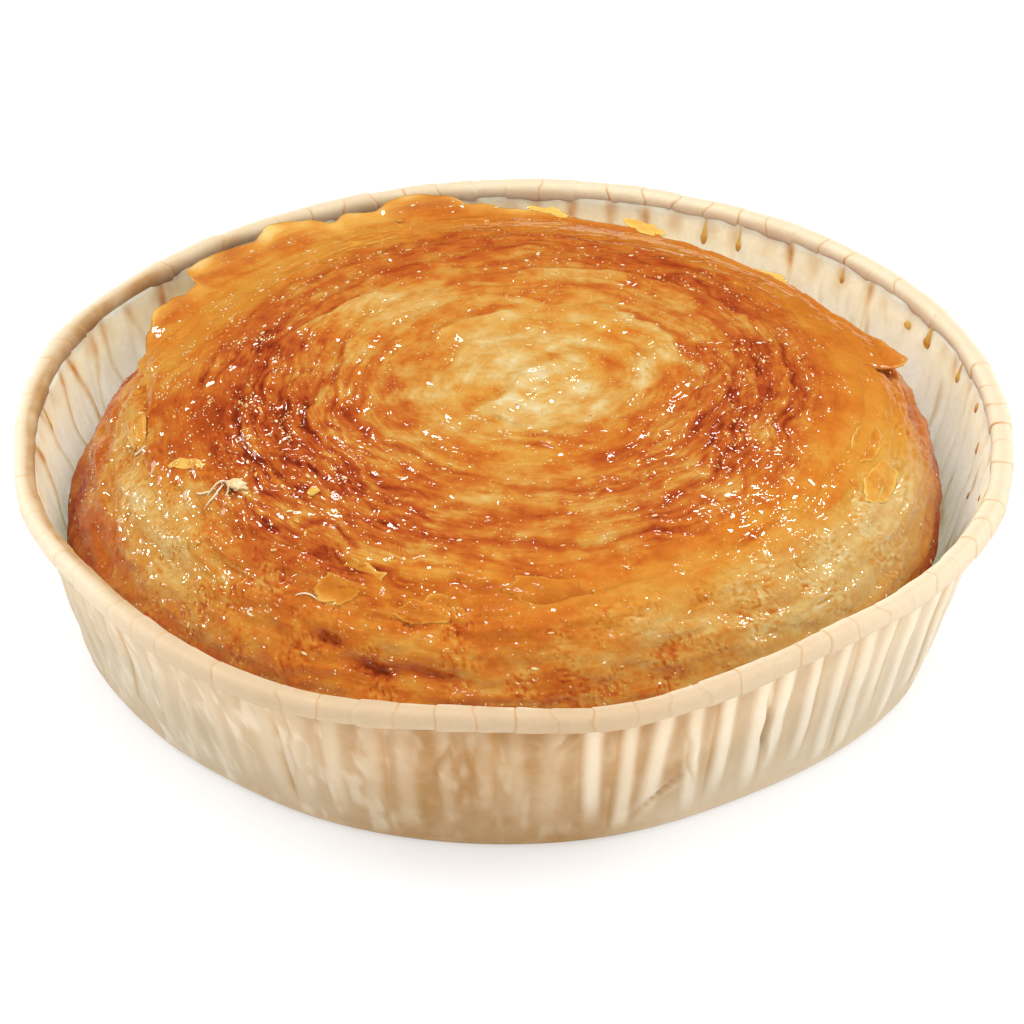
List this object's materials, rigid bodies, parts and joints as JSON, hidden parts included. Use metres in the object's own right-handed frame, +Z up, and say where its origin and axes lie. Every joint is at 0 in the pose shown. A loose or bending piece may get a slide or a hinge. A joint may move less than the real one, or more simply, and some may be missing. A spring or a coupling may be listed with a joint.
{
  "type": "kouign amann",
  "caption": "Round kouign amann, a coiled and caramelised butter pastry, standing in its pleated paper baking case with a rolled rim.",
  "frame": {"origin": "centre of the paper case's flat underside", "axes": "+Z up; +X to the right of the shown side, which faces -Y"},
  "size_m": [0.1115, 0.1125, 0.0306],
  "materials": {
    "baking_paper": "matt greaseproof paper, pale cream, pressed into fine pleats",
    "caramelised_pastry": "glossy amber caramel over flaky baked dough, pale at the coil's middle and at the shoulder"
  },
  "bodies": {
    "root": {"paper_case": "baking_paper", "pastry": "caramelised_pastry"}
  },
  "joints": []
}
